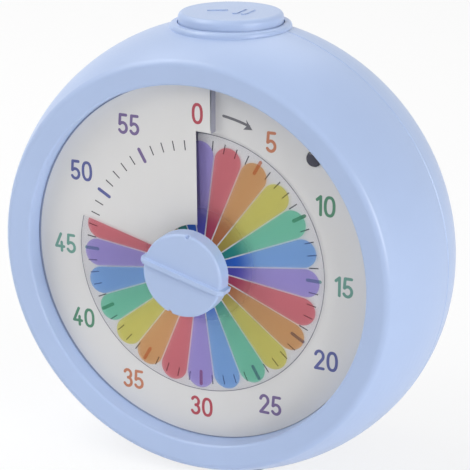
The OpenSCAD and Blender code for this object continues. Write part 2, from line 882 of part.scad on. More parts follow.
// Printed card on the helical seat, slit on the centre line and stepped aside past the disc
module dial_card() {
    hole_r = card_hole_d / 2;
    step = (slit_r - hole_r) / 3;
    inner = [for (k = [0 : 3]) hole_r + k * step];
    outer = [slit_r + slit_turn, (slit_r + card_r) / 2, card_r];
    starts = concat(
        [for (r = inner) slit_deg / 2],
        [for (r = outer) asin(slit_step / r) + slit_deg / 2]
    );
    color(dial_white) stand() difference() {
        helicoid(concat(inner, outer), starts, 360 - slit_deg, 0, card_t / 2, card_t / 2);
        translate(lamp_at) rod(lamp_d / 2 + lamp_gap, -rise, rise);
    }
}

// Clear disc, cut along one radius, that passes through the card's slit
module colour_film() {
    inner_r = hub_d / 2 + seat_gap;
    step = (film_r - inner_r) / 4;
    radii = [for (k = [0 : 4]) inner_r + k * step];
    starts = [for (r = radii) film_start];
    color(film_tint) stand()
        helicoid(radii, starts, film_sweep, film_lead, film_t / 2, film_t / 2);
}

// Hub on the spindle, with the helical ledge under the disc
module film_hub() {
    radii = [hub_d / 2 - cut, ledge_d / 2];
    starts = [for (r = radii) film_start];
    color(gear_white) stand() difference() {
        union() {
            rod(hub_d / 2, hub_bottom, knob_back);
            helicoid(radii, starts, film_sweep, film_lead, film_t / 2 + ledge_t, -film_t / 2 - glue_gap);
        }
        hole(spindle_d / 2 + seat_gap, hub_bottom, knob_back);
    }
}

// Setting knob: a drafted cup with a grip fin along the disc's leading edge
module knob() {
    r_back = knob_d / 2;
    r_front = r_back - knob_draft;
    front_z = knob_back + knob_h;
    face_gap = 0.2;
    fin_end = 1.6;
    dimple_r = 0.7;
    dimple_in = 0.4;
    dimple_at = 283;
    notch = 1.2;
    notch_at = 86;
    color(shell_blue) stand() rotate(90 - set_deg) difference() {
        union() {
            difference() {
                rotate_extrude() polygon(concat(
                    [[0, knob_back], [r_back, knob_back]],
                    arc([r_front - knob_round, front_z - knob_round], knob_round, 0, 90, 6),
                    [[0, front_z]]
                ));
                rod(r_front - knob_wall, knob_back - cut, front_z - knob_wall);
            }
            rod(hub_d / 2, knob_back, front_z - face_gap);
            intersection() {
                block([-r_back - fin_over, -fin_t / 2, knob_back],
                      [r_back + fin_over, fin_t / 2, front_z + fin_proud]);
                union() {
                    rod(r_back + fin_over, knob_back, front_z + fin_proud - fin_end);
                    translate([0, 0, front_z + fin_proud - fin_end])
                        cylinder(r1 = r_back + fin_over, r2 = r_back + fin_over - fin_end, h = fin_end);
                }
            }
        }
        rod(spindle_d / 2 + seat_gap, knob_back - cut, front_z - knob_wall - face_gap);
        rotate(dimple_at) translate([r_front - dimple_in, 0, front_z - dimple_in]) sphere(r = dimple_r);
        rotate(notch_at) translate([r_front, 0, front_z]) rotate([0, 45, 0])
            cube([notch, notch, notch], center = true);
    }
}

// Steel spindle with a collar behind the bush and a groove for the clip
module spindle() {
    r = spindle_d / 2;
    color(steel) stand() difference() {
        union() {
            rod(r, case_back + case_t / 4, knob_back + knob_h - knob_wall - 2 * ledge_gap);
            rod(spindle_collar_d / 2, collar_z - spindle_collar_t, collar_z);
        }
        difference() {
            rod(r + cut, clip_z - clip_t - stack_gap, clip_z + stack_gap);
            hole(r - groove_deep, clip_z - clip_t, clip_z);
        }
    }
}

// Flanged brass bush in the chassis plate
module spindle_bush() {
    color(brass) stand() difference() {
        union() {
            rod(bush_d / 2, bush_end, plate_z + eps);
            rod(spindle_collar_d / 2, plate_z, plate_z + spindle_collar_t);
        }
        hole(spindle_d / 2 + run_gap, bush_end, plate_z + spindle_collar_t);
    }
}

// Dished spring washer that presses the drive wheel against the spindle's collar
module clutch_washer() {
    r_in = spindle_d / 2 + run_gap;
    r_out = spindle_collar_d / 2 - groove_deep;
    sheet = 0.3;
    color(steel) stand() rotate_extrude() polygon([
        [r_in, washer_z - washer_t], [r_out, washer_z - sheet], [r_out, washer_z],
        [r_in, washer_z - washer_t + sheet]
    ]);
}

// Clip in the spindle's groove, open to one side
module retaining_clip() {
    r = spindle_d / 2 - groove_deep + seat_gap;
    color(steel) stand() difference() {
        rod(spindle_d / 2 + 3 * groove_deep, clip_z - clip_t, clip_z);
        hole(r, clip_z - clip_t, clip_z);
        block([0, -r, clip_z - clip_t - cut], [spindle_d, r, clip_z + cut]);
    }
}

// Output wheel, free on the spindle and driven through the clutch
module drive_wheel() {
    color(gear_white) stand() difference() {
        gear(drive_teeth, drive_z, gear_w, 180);
        hole(spindle_d / 2 + run_gap, drive_z - gear_w, drive_z);
        for (a = [30 : 60 : 330])
            rotate(a) translate([(drive_r + spindle_collar_d / 2) / 2, 0, 0])
                hole(drive_r / 5.4, drive_z - gear_w, drive_z);
    }
}

// Compound idler: pinion in the front layer, wheel in the rear layer
module idler_wheel() {
    foot_z = layer_b - gear_w - idler_foot;
    color(gear_white) stand() translate(idler_at) difference() {
        union() {
            gear(pinion_teeth, drive_z, drive_z - layer_b + eps, 180 / pinion_teeth);
            gear(idler_teeth, layer_b, gear_w, motor_dir);
            rod(idler_pin_d / 2 + idler_boss_t, foot_z, layer_b);
        }
        hole(idler_pin_d / 2 + run_gap, foot_z, drive_z);
    }
}

module idler_pin() {
    color(steel) stand() translate(idler_at)
        rod(idler_pin_d / 2, case_floor - case_t / 2, plate_back + pin_seat - 2 * stack_gap);
}

// Brass pinion with the motor's shaft
module motor_pinion() {
    over = 0.2;
    color(brass) stand() translate(motor_at) {
        gear(pinion_teeth, layer_b + over, gear_w + 2 * over, motor_dir + 180 + 180 / pinion_teeth);
        rod(motor_shaft_d / 2, case_back - 0.8 * motor_h, layer_b - cut);
    }
}

// Motor can with a flange that has two screw ears
module motor() {
    can_end = case_back - motor_h;
    tag = [2, 0.6, 3];
    color(steel) stand() translate(motor_at) difference() {
        union() {
            rod(motor_d / 2, can_end, case_back);
            translate([0, 0, case_back - motor_ear_t]) linear_extrude(motor_ear_t) {
                square([2 * motor_ears[1][0], 2 * ear_r], center = true);
                for (p = motor_ears) translate(p) circle(ear_r);
            }
            for (x = [-0.2, 0.2] * motor_d)
                block([x - tag[0] / 2, -tag[1] / 2, can_end - tag[2]],
                      [x + tag[0] / 2, tag[1] / 2, can_end + eps]);
        }
        rod(motor_shaft_d / 2 + run_gap, case_back - 0.85 * motor_h, case_back + cut);
        for (p = motor_ears) translate(p) hole(small_screw_r + pilot_gap, case_back - motor_ear_t, case_back);
    }
}

module motor_screws() {
    color(steel) stand() translate(motor_at) for (p = motor_ears)
        translate(p) screw(small_screw_r, small_head_r, case_back - motor_ear_t, motor_ear_t + case_t);
}

module case_outline(inset) {
    translate((case_lo + case_hi) / 2)
        round_rect(case_hi[0] - case_lo[0] - 2 * inset, case_hi[1] - case_lo[1] - 2 * inset,
                   case_round - inset);
}

// Cup over the gear train, screwed to the back of the chassis plate
module movement_case() {
    shaft_gap = 0.6;
    color(dark_grey) stand() difference() {
        union() {
            difference() {
                translate([0, 0, case_back]) linear_extrude(plate_back - case_back) case_outline(0);
                translate([0, 0, case_floor])
                    linear_extrude(plate_back - case_floor + cut) case_outline(case_t);
            }
            for (p = case_screws) translate(p) rod(ear_r, case_floor - eps, plate_back);
        }
        hole(spindle_d / 2 + run_gap, case_back, case_floor);
        translate(idler_at)
            rod(idler_pin_d / 2 + seat_gap, case_floor - case_t / 2 - 2 * stack_gap, case_floor + cut);
        translate(motor_at) {
            hole(motor_shaft_d / 2 + shaft_gap, case_back, case_floor);
            for (p = motor_ears) translate(p) hole(small_screw_r + pilot_gap, case_back, case_floor);
        }
        for (p = case_screws) translate(p) hole(small_screw_r + through_gap, case_back, plate_back);
    }
}

module movement_screws() {
    color(steel) stand() for (p = case_screws)
        translate(p) screw(small_screw_r, small_head_r, case_back, plate_back - case_back + plate_t / 2);
}

// Raised start and pause marks on the button
module cap_marks() {
    mark_h = 0.3;
    mark_half = 0.2 * cap_r;
    bar_r = 0.05 * cap_r;
    low = cap_y - mark_h;
    high = cap_y + mark_h;
    translate([0, 0, low]) linear_extrude(high - low)
        polygon([[-2 * mark_half, -mark_half], [-0.3 * mark_half, 0], [-2 * mark_half, mark_half]]);
    for (x = [0.9, 1.8] * mark_half) {
        block([x - bar_r, -mark_half, low], [x + bar_r, mark_half, high]);
        for (y = [-mark_half, mark_half])
            translate([x, y, 0]) rod(bar_r, low, high);
    }
}

// Button cap: a cup with a retaining flange and a stem down to the switch
module button_cap() {
    color(shell_blue) stand() upright() difference() {
        union() {
            rotate_extrude() polygon(concat(
                [[0, flange_bottom], [flange_r, flange_bottom], [flange_r, flange_top], [cap_r, flange_top]],
                arc([cap_r - cap_round, cap_y - cap_round], cap_round, 0, 90, 8),
                [[0, cap_y]]
            ));
            rod(stem_r, stem_bottom, cap_y - cap_wall);
            cap_marks();
        }
        difference() {
            rod(cap_r - cap_wall, flange_bottom - cut, cap_y - cap_wall);
            rod(stem_r, stem_bottom - cut, cap_y);
        }
    }
}

// Return spring between the well's floor and the cap
module button_spring() {
    h = cap_y - cap_wall - well_floor - 2 * (spring_wire + stack_gap);
    color(steel) stand() upright() translate([0, 0, well_floor + spring_wire + stack_gap])
        coil(spring_r, spring_r, spring_wire, h, spring_turns);
}

// Tact switch on the circuit board, under the cap's stem
module tact_switch() {
    base = [6, 6, 3.5];
    key_r = 1.75;
    color(dark_grey) stand() upright() {
        translate([0, 0, board_top]) linear_extrude(base[2]) round_rect(base[0], base[1], 0.1 * base[0]);
        rod(key_r, board_top + base[2] - eps, tact_top);
    }
}

// Main circuit board, flat under the button, with a chip, a capacitor and a row of resistors
module circuit_board() {
    chip = [8, 1.2, 8];
    chip_x = 9;
    cap = [3, 5.5];
    cap_at = [-14, -6];
    part = [1.5, 0.6, 2];
    part_pitch = 3;
    base = board_top - eps;
    color(board_green) stand() difference() {
        union() {
            block([-board_w / 2, board_under, board_back], [board_w / 2, board_top, board_front]);
            block([chip_x, base, seam_z - chip[2]], [chip_x + chip[0], board_top + chip[1], seam_z]);
            translate([cap_at[0], base, seam_z + cap_at[1]]) rotate([-90, 0, 0])
                cylinder(r = cap[0], h = eps + cap[1]);
            for (k = [0 : 3]) translate([cap_at[0] + part_pitch * k, 0, seam_z - 2 * cap_at[1]])
                block([0, base, 0], [part[0], board_top + part[1], part[2]]);
        }
        for (x = [-bracket_x, bracket_x])
            for (z = board_screw_z)
                translate([x, board_top + cut, z]) downward()
                    cylinder(r = small_screw_r + through_gap, h = board_t + 2 * cut);
    }
}

module board_screws() {
    color(steel) stand()
        for (x = [-bracket_x, bracket_x])
            for (z = board_screw_z)
                translate([x, board_top, z]) downward() screw(small_screw_r, small_head_r, 0, board_screw_l);
}

// Sound switch under the rear edge of the board, and its slider in the back's slot
module slide_switch() {
    color(steel) stand() difference() {
        block([-switch_w / 2, board_under - switch_h, switch_face],
              [switch_w / 2, board_under, switch_face + switch_deep]);
        block([-switch_slot_w / 2, switch_y - switch_slot_h / 2, switch_face - cut],
              [switch_slot_w / 2, switch_y + switch_slot_h / 2, switch_face + lever_in + lever_gap]);
    }
}

module switch_slider() {
    face = back_z + lever_sink;
    rib = 0.5;
    color(dark_grey) stand() difference() {
        block([-lever_w / 2, switch_y - lever_h / 2, face],
              [lever_w / 2, switch_y + lever_h / 2, switch_face + lever_in]);
        for (x = [-0.3, 0, 0.3] * lever_w)
            translate([x, switch_y, face]) rotate([0, 45, 0]) cube([rib, 2 * lever_h, rib], center = true);
    }
}

// Loudspeaker behind the grille: rim, basket and magnet, with a dished dust cap
module speaker() {
    r = speaker_d / 2;
    rim = 2;
    rim_t = 1.4;
    cone_in = 0.6;
    magnet_r = r - 7;
    basket_r = r - 4.5;
    basket_h = 4;
    dish_r = 4;
    color(dark_grey) stand() translate([0, speaker_y, door_in]) difference() {
        rotate_extrude() polygon([
            [0, cone_in], [r - rim, cone_in], [r - rim, 0], [r, 0], [r, rim_t], [r - rim / 2, rim_t],
            [basket_r, basket_h], [magnet_r, basket_h], [magnet_r, speaker_h], [0, speaker_h]
        ]);
        translate([0, 0, -dish_r / 2]) sphere(r = dish_r);
    }
}

// Indicator lamp that looks through the card, on its own small board
module lamp() {
    r = lamp_d / 2;
    face = card_z(lamp_deg) + card_t / 2 + lamp_gap;
    color(dark_grey) stand() translate(lamp_at) {
        rod(r, plate_back - eps, face);
        intersection() {
            translate([0, 0, face + lamp_dome - lamp_d]) sphere(r = lamp_d);
            rod(r, plate_back, face + lamp_dome);
        }
        rod(r + lamp_flange, lamp_board_z, plate_back);
    }
}

module lamp_board() {
    half = lamp_board_w / 2;
    color(board_green) stand() difference() {
        translate(lamp_at) block([-half, -half, lamp_board_z - board_t], [half, half, lamp_board_z]);
        for (p = lamp_pegs) translate(p) hole(peg_r + seat_gap, lamp_board_z - board_t, lamp_board_z);
    }
}

// Places a cell's axis along x for each of the two cells, which lie head to tail
module each_cell() {
    for (s = [-1, 1])
        translate([0, cells_y + s * (cell_d / 2 + cell_slack), cell_z])
            rotate([0, 90, s > 0 ? 0 : 180]) children();
}

module cells() {
    color(cell_grey) stand() each_cell() translate([0, 0, cell_x0]) {
        rod(cell_nub_r, cell_l - cell_nub_l - eps, cell_l);
        rod(cell_d / 2, 0, cell_l - cell_nub_l);
    }
}

// Contact plates with a bump at the nubs and tapered springs at the flat ends
module battery_contacts() {
    plate = 0.4;
    tall = 0.7 * cell_d;
    wire = 0.35;
    turns = 3;
    wide_r = 0.31 * cell_d;
    color(steel) stand() each_cell() {
        for (z = [bay_w / 2 - plate, -bay_w / 2])
            translate([-tall / 2, -tall / 2, z]) cube([tall, tall, plate]);
        rod(0.85 * cell_nub_r, cell_x0 + cell_l, bay_w / 2 - plate / 2);
        translate([0, 0, -bay_w / 2 + plate + wire])
            coil(wide_r, cell_nub_r, wire, contact_l - plate - 2 * wire, turns);
    }
}

// Battery door, flush with the back, with pegs on one side, a screw on the other and a finger dip
module battery_door() {
    dip_r = 7;
    dip_deep = 1.2;
    color(shell_blue) stand() difference() {
        union() {
            translate([0, cells_y, back_z]) linear_extrude(wall) door_outline(0);
            door_pegs(0, door_in - eps, door_in + ledge_depth);
        }
        translate([door_screw_x, cells_y]) {
            hole(screw_r + through_gap, back_z, door_in);
            rod(head_r + head_gap, back_z - cut, back_z + head_t);
        }
        translate([0, cells_y + door_h / 2, back_z + dip_deep - dip_r]) sphere(r = dip_r);
    }
}

module door_screw() {
    color(steel) stand() translate([door_screw_x, cells_y])
        screw(screw_r - 2 * stack_gap, head_r, back_z + head_t, door_screw_l);
}

// Rubber pads under the flat, with a chamfered rim
module feet() {
    color(dark_grey) stand() for (side = [1, -1])
        each_foot(side) rotate_extrude() polygon([
            [0, 0], [foot_r, 0], [foot_r, foot_t - foot_chamfer], [foot_r - foot_chamfer, foot_t], [0, foot_t]
        ]);
}

module shell_screws() {
    color(steel) stand() for (p = posts)
        translate(p) screw(screw_r, head_r, -post_floor, post_floor + plate_back - 2 * plate_t);
}

module chassis_screws() {
    color(steel) stand() for (a = boss_degs)
        rotate(a) translate([boss_at, 0, 0])
            screw(small_screw_r, small_head_r, plate_back, boss_hole_end - plate_back - cut);
}

front_shell();
rear_shell();
chassis_plate();
dial_seat();
dial_card();
colour_film();
film_hub();
knob();
spindle();
spindle_bush();
clutch_washer();
retaining_clip();
drive_wheel();
idler_wheel();
idler_pin();
motor_pinion();
motor();
movement_case();
movement_screws();
motor_screws();
button_cap();
button_spring();
tact_switch();
circuit_board();
board_screws();
slide_switch();
switch_slider();
speaker();
lamp();
lamp_board();
cells();
battery_contacts();
battery_door();
door_screw();
feet();
shell_screws();
chassis_screws();
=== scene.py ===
"""Looks of a visual timer: dial print, rainbow disc, materials, light and camera round the CAD frame."""
import json
import math

import bpy
from mathutils import Matrix, Vector
from mathutils.geometry import delaunay_2d_cdt


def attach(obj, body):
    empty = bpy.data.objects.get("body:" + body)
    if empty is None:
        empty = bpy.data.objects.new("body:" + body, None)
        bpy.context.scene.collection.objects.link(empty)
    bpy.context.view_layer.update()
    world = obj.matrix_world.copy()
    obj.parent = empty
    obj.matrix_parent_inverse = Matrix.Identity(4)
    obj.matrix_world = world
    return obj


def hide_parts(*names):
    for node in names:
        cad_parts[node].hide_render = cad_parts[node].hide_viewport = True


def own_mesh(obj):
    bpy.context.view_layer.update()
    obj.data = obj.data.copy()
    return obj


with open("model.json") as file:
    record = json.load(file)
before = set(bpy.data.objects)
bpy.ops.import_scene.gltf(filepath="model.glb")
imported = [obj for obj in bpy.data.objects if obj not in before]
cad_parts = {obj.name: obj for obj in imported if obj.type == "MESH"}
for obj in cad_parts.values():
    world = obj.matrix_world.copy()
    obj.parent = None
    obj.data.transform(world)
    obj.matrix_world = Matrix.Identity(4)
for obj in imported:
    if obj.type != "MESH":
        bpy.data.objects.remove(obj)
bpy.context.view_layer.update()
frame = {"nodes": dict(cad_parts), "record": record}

MM = 0.001

# The dial's own frame: x right, y up and z towards the viewer from the middle of the dial, in mm.
# Angles on the dial run clockwise from the top, in degrees.
DIAL_Y = -20.5    # the dial plane in the row frame
AXIS_Z = 68.0     # the dial's axis over the ground
RISE = 3.0        # the card climbs this far in one turn

# Dial card
CARD_R = 56.95
CARD_BORE_R = 13.0
CARD_T = 0.13
CARD_RINGS = (16.0, 21.0, 26.0, 31.0, 41.2, 44.6, 51.5, 54.5)    # radii of the points that keep it curved
CARD_SHADE_LINE = 0.11       # mean width of the dark line of painted shade along the card's edge, the shadow of the gap between card and wall
CARD_SHADE_OFF = 0.54       # the card's plain field is moved by this, which makes the painted shade line wider at one side
CARD_SHADE_AT = 255.0   # degrees, where the painted shade line is widest
LAMP_AT = (52.8, 44.6)    # radius and angle of the lamp's hole
LAMP_HOLE_R = 2.4

# The card's slit. Its inner part runs up from the bore, and its outer part lies a step to the right.
# The card's high edge lies left of the slit, and its low edge right of it.
SLIT_R = 42.2         # inner radius of the step, just outside the disc
SLIT_STEP = 0.2       # width of the cut along the step
SLIT_X = 4.9          # the outer part runs upright at this x
HALF_SLIT = 0.25      # degrees from the slit's middle to each edge
LOW_EDGE_TO = 0.275   # degrees from the slit's middle within which a point lies on the low edge
TUCK = 1.6            # degrees by which the low edge of the inner part is drawn under the high edge
RISER_SHIFT = 0.2     # the low edge of the outer part is turned up as a riser, and moved left by this
RISER_FOOT = 0.06     # width of the riser's foot
RISER_GAP = 0.15      # the riser ends this far below the high edge
RISER_REACH = 0.45    # degrees from the slit's middle within which a point belongs to the riser

# Rainbow disc
FILM_R = 41.4
FILM_BORE_R = 5.02
FILM_T = 0.08
FILM_LEAD = 0.5       # the disc runs this far in front of the card
FILM_FROM = -74.0     # degrees, the disc's low edge
FILM_TO = 285.0       # degrees, its high edge along the knob's fin
FILM_RINGS = (9.0, 14.0, 19.0, 24.0, 29.0, 34.0)    # radii of the points that keep it curved
FILM_RIM_SHADE = 0.25       # width of the grey line of painted shade at the disc's rim, for the shadow along its edge
RING_STEP = 4.0       # degrees between two points of a ring, on the card and the disc
RIM_STEPS = 180       # points of a full circle at a rim

# Petals of the rainbow disc
PETAL_COUNT = 24
PETAL_TIP_R = 39.7
PETAL_DROP = 0.9      # the print sits this far below the disc's centre
PETAL_END_R = 4.4     # length of a petal's round end
PETAL_END_STEPS = 18
PETAL_ROOT_R = 6.0
PETAL_GAP = 0.2       # half of the clear gap between two petals
PETAL_STEPS = 8       # pieces of a petal's side, which keep it on the climbing disc
DENSE_FROM_R = 20.5   # the print gets denser inwards of this radius
DENSE_TO_R = 11.5     # and has its full density at this one
PETAL_COVER = 0.3           # share of a petal that its ink covers
PETAL_COVER_AT_HUB = 0.85
TINT_GAIN = 2.2       # makes up for the light that a petal takes on its way to the card and back
PETAL_ORDER = ("purple", "red", "orange", "yellow", "green", "blue")

# Softened knob
KNOB_WELD = 0.001     # points nearer than this are one point
KNOB_VOXEL = 0.18     # size of the even mesh
KNOB_PASSES = 4       # smoothing passes, and how far each one goes
KNOB_PASS = 0.5
KNOB_KEPT = 0.35      # share of the faces kept
KNOB_R = 13.2
KNOB_FRONT = 12.4     # the knob's face over the dial plane
FIN_AT = 285.0        # degrees
FIN_HALF = 0.65       # half width of the fin's solid
FIN_NEAR = 0.02       # a point this near to FIN_HALF lies on a side of the fin
FIN_WIDER = 0.17      # each side of the fin is moved out by this, for what the softening takes away
DIMPLE_AT = 2.0       # degrees, where the solid has its dimple
DIMPLE_TURN = 7.5     # degrees that the dimple is moved clockwise
DIMPLE_REACH = 30.0   # degrees to each side of the dimple over which the rim follows it
DIMPLE_FROM = 0.6     # share of the knob's radius outside which points follow
NOTCH_AT = 199.0      # degrees
NOTCH_HALF = 0.9      # half width of the notch along the rim
NOTCH_IN = 0.6        # depth of the notch from the rim
NOTCH_DEEP = 1.8      # reach of the notch from the knob's face

# Dial print
NUMERAL_H = 6.4
NUMERAL_STROKE = 0.148    # share of the numeral's height
NUMERAL_SPACE = 0.08      # likewise, between two digits
NUMERALS = (
    ("0", 0.4, 47.8, "red"),
    ("5", 23.3, 41.0, "orange"),
    ("10", 41.0, 23.7, "green"),
    ("15", 47.3, -0.5, "teal"),
    ("20", 42.0, -24.7, "indigo"),
    ("25", 23.7, -42.5, "purple"),
    ("30", 0.1, -47.3, "red"),
    ("35", -24.1, -42.2, "orange"),
    ("40", -41.7, -24.0, "green"),
    ("45", -47.4, 0.3, "teal"),
    ("50", -40.5, 25.0, "indigo"),
    ("55", -23.2, 41.8, "purple"),
)
LONG_TICK = (35.0, 40.2, 0.55)     # inner radius, outer radius, half width
SHORT_TICK = (36.2, 39.3, 0.19)
ARROW_R = 47.8
ARROW_FROM = 9.2      # degrees
ARROW_TO = 19.6       # degrees
ARROW_HALF = 0.42     # half width of the shaft
ARROW_HEAD = ((47.15, 21.4), (46.0, 17.9), (47.7, 18.9), (49.3, 17.8))    # radius, angle


def row(x, y, z):
    """Point of the dial's frame as a point of the row frame, in metres."""
    return Vector((x, DIAL_Y - z, AXIS_Z + y)) * MM


def dial(point):
    """Point of the row frame as a point of the dial's frame."""
    return (point.x / MM, point.z / MM - AXIS_Z, DIAL_Y - point.y / MM)


def polar(radius, degrees):
    """Point of the dial's plan at an angle clockwise from the top."""
    angle = math.radians(degrees)
    return (radius * math.sin(angle), radius * math.cos(angle))


def swell(share):
    """Smooth hill: 1 in the middle, at 0, and 0 at -1 and 1."""
    return 0.5 + 0.5 * math.cos(math.pi * share)


def circle(x, y, radius, steps):
    """Anticlockwise circle."""
    turns = [2 * math.pi * i / steps for i in range(steps)]
    return [(x + radius * math.cos(t), y + radius * math.sin(t)) for t in turns]


def srgb(red, green, blue):
    """Linear colour of an 8-bit screen colour."""
    def linear(value):
        share = value / 255
        return share / 12.92 if share <= 0.04045 else ((share + 0.055) / 1.055) ** 2.4
    return (linear(red), linear(green), linear(blue))


# Materials

NOISE_MIDDLE = (0.3, 0.7)     # most of a noise lies between these
TONE_MM = 22.0                # size of the uneven tone of a moulding
GRAIN_DEPTH_MM = 0.02
MARK_MM = 0.35                # size of the working marks of metal
MARK_DEPTH_MM = 0.01
PATCH_MM = 6.0                # size of the uneven tone of metal


def new_material(name):
    """New node material with its tree and its Principled shader."""
    made = bpy.data.materials.new(name)
    made.use_nodes = True
    return made, made.node_tree, made.node_tree.nodes["Principled BSDF"]


def noise(tree, size_mm, detail=3.0, stretch=(1, 1, 1)):
    """Noise in the object's own space with blotches of about a size, stretched by a factor per axis."""
    place = tree.nodes.new("ShaderNodeTexCoord")
    mapping = tree.nodes.new("ShaderNodeMapping")
    mapping.inputs["Scale"].default_value = [1 / s for s in stretch]
    texture = tree.nodes.new("ShaderNodeTexNoise")
    texture.inputs["Scale"].default_value = 1 / (size_mm * MM)
    texture.inputs["Detail"].default_value = detail
    tree.links.new(place.outputs["Object"], mapping.inputs["Vector"])
    tree.links.new(mapping.outputs["Vector"], texture.inputs["Vector"])
    return texture.outputs["Fac"]


def map_range(tree, value, first, last):
    """Node that takes a value from one pair of ends to another."""
    node = tree.nodes.new("ShaderNodeMapRange")
    node.inputs["From Min"].default_value, node.inputs["From Max"].default_value = first
    node.inputs["To Min"].default_value, node.inputs["To Max"].default_value = last
    tree.links.new(value, node.inputs["Value"])
    return node


def span(tree, value, low, high):
    """The middle of a noise's range spread over low to high."""
    return map_range(tree, value, NOISE_MIDDLE, (low, high)).outputs["Result"]


def blend(tree, share, first, second):
    """Colour that goes from the first to the second. The first may be the socket of another colour."""
    node = tree.nodes.new("ShaderNodeMix")
    node.data_type = "RGBA"
    sockets = {socket.name: socket for socket in node.inputs if socket.type == "RGBA"}
    if isinstance(first, bpy.types.NodeSocket):
        tree.links.new(first, sockets["A"])
    else:
        sockets["A"].default_value = (*first, 1)
    sockets["B"].default_value = (*second, 1)
    tree.links.new(share, node.inputs["Factor"])
    return next(s for s in node.outputs if s.type == "RGBA")


def bump(tree, height, strength, depth_mm):
    """Normal of a fine relief."""
    node = tree.nodes.new("ShaderNodeBump")
    node.inputs["Strength"].default_value = strength
    node.inputs["Distance"].default_value = depth_mm * MM
    tree.links.new(height, node.inputs["Height"])
    return node.outputs["Normal"]


def shade(colour, factor):
    """Colour times a factor, kept in range."""
    return tuple(min(1.0, c * factor) for c in colour)


def moulded(name, colour, roughness, grain_mm=0.6, relief=0.12, spread=0.03):
    """Moulded plastic, rubber or print: slightly uneven tone over a fine grain."""
    made, tree, skin = new_material(name)
    broad = noise(tree, TONE_MM)
    fine = noise(tree, grain_mm)
    tone = blend(tree, span(tree, broad, 0, 1), shade(colour, 1 - spread), shade(colour, 1 + spread))
    tree.links.new(tone, skin.inputs["Base Color"])
    tree.links.new(span(tree, fine, roughness - 0.05, roughness + 0.05), skin.inputs["Roughness"])
    tree.links.new(bump(tree, fine, relief, GRAIN_DEPTH_MM), skin.inputs["Normal"])
    return made


def metal(name, colour, roughness, stretch=(1, 1, 1)):
    """Metal with fine working marks, drawn out along the axes with a large stretch."""
    made, tree, skin = new_material(name)
    marks = noise(tree, MARK_MM, 4.0, stretch)
    patches = noise(tree, PATCH_MM)
    tone = blend(tree, span(tree, patches, 0, 1), shade(colour, 0.94), shade(colour, 1.04))
    tree.links.new(tone, skin.inputs["Base Color"])
    tree.links.new(span(tree, marks, roughness - 0.07, roughness + 0.07), skin.inputs["Roughness"])
    tree.links.new(bump(tree, marks, 0.15, MARK_DEPTH_MM), skin.inputs["Normal"])
    skin.inputs["Metallic"].default_value = 1.0
    return made


def board(name, mask, track):
    """Circuit board: solder mask with faint tracks under it, as the joints of a fine brick pattern."""
    made, tree, skin = new_material(name)
    place = tree.nodes.new("ShaderNodeTexCoord")
    tracks = tree.nodes.new("ShaderNodeTexBrick")
    tracks.inputs["Scale"].default_value = 120.0
    tracks.inputs["Mortar Size"].default_value = 0.06
    tracks.inputs["Color1"].default_value = (*mask, 1)
    tracks.inputs["Color2"].default_value = (*shade(mask, 1.15), 1)
    tracks.inputs["Mortar"].default_value = (*track, 1)
    tree.links.new(place.outputs["Object"], tracks.inputs["Vector"])
    tree.links.new(tracks.outputs["Color"], skin.inputs["Base Color"])
    tree.links.new(span(tree, noise(tree, 2.0), 0.28, 0.4), skin.inputs["Roughness"])
    return made


def sleeve(name, base, band, band_from_mm):
    """Cell sleeve: plain, with a band of another colour towards the cells' positive end."""
    made, tree, skin = new_material(name)
    place = tree.nodes.new("ShaderNodeTexCoord")
    axes = tree.nodes.new("ShaderNodeSeparateXYZ")
    tree.links.new(place.outputs["Object"], axes.inputs["Vector"])
    past = tree.nodes.new("ShaderNodeMath")
    past.operation = "GREATER_THAN"
    past.inputs[1].default_value = band_from_mm * MM
    tree.links.new(axes.outputs["X"], past.inputs[0])
    tree.links.new(blend(tree, past.outputs["Value"], base, band), skin.inputs["Base Color"])
    tree.links.new(span(tree, noise(tree, 3.0), 0.25, 0.38), skin.inputs["Roughness"])
    skin.inputs["Metallic"].default_value = 0.6
    return made


def see_through(name, ink, tint, cover):
    """Printed or bare film: ink covers a share of it, and what lies behind shows tinted through the rest."""
    made = moulded(name, ink, 0.4, grain_mm=0.8, relief=0.05, spread=0.04)
    tree = made.node_tree
    clear = tree.nodes.new("ShaderNodeBsdfTransparent")
    clear.inputs["Color"].default_value = (*tint, 1)
    mix = tree.nodes.new("ShaderNodeMixShader")
    mix.name = "cover"
    mix.inputs["Fac"].default_value = cover
    output = tree.nodes["Material Output"]
    tree.links.new(clear.outputs["BSDF"], mix.inputs[1])
    tree.links.new(tree.nodes["Principled BSDF"].outputs["BSDF"], mix.inputs[2])
    tree.links.new(mix.outputs["Shader"], output.inputs["Surface"])
    return made


def thicken_near_hub(made, ink, cover):
    """Makes the print of a film denser towards the disc's middle, up to an ink and a cover at the hub."""
    tree = made.node_tree
    place = tree.nodes.new("ShaderNodeTexCoord")
    flat = tree.nodes.new("ShaderNodeVectorMath")
    flat.operation = "MULTIPLY"
    flat.inputs[1].default_value = (1, 0, 1)
    away = tree.nodes.new("ShaderNodeVectorMath")
    away.operation = "DISTANCE"
    away.inputs[1].default_value = (0, 0, AXIS_Z * MM)
    tree.links.new(place.outputs["Object"], flat.inputs[0])
    tree.links.new(flat.outputs["Vector"], away.inputs[0])

    def ramp(at_hub, outside):
        radii = (DENSE_TO_R * MM, DENSE_FROM_R * MM)
        node = map_range(tree, away.outputs["Value"], radii, (at_hub, outside))
        node.interpolation_type = "SMOOTHSTEP"
        return node.outputs["Result"]

    colour = tree.nodes["Principled BSDF"].inputs["Base Color"]
    tone = colour.links[0].from_socket
    tree.links.new(blend(tree, ramp(1, 0), tone, ink), colour)
    share = tree.nodes["cover"].inputs["Fac"]
    tree.links.new(ramp(cover, share.default_value), share)


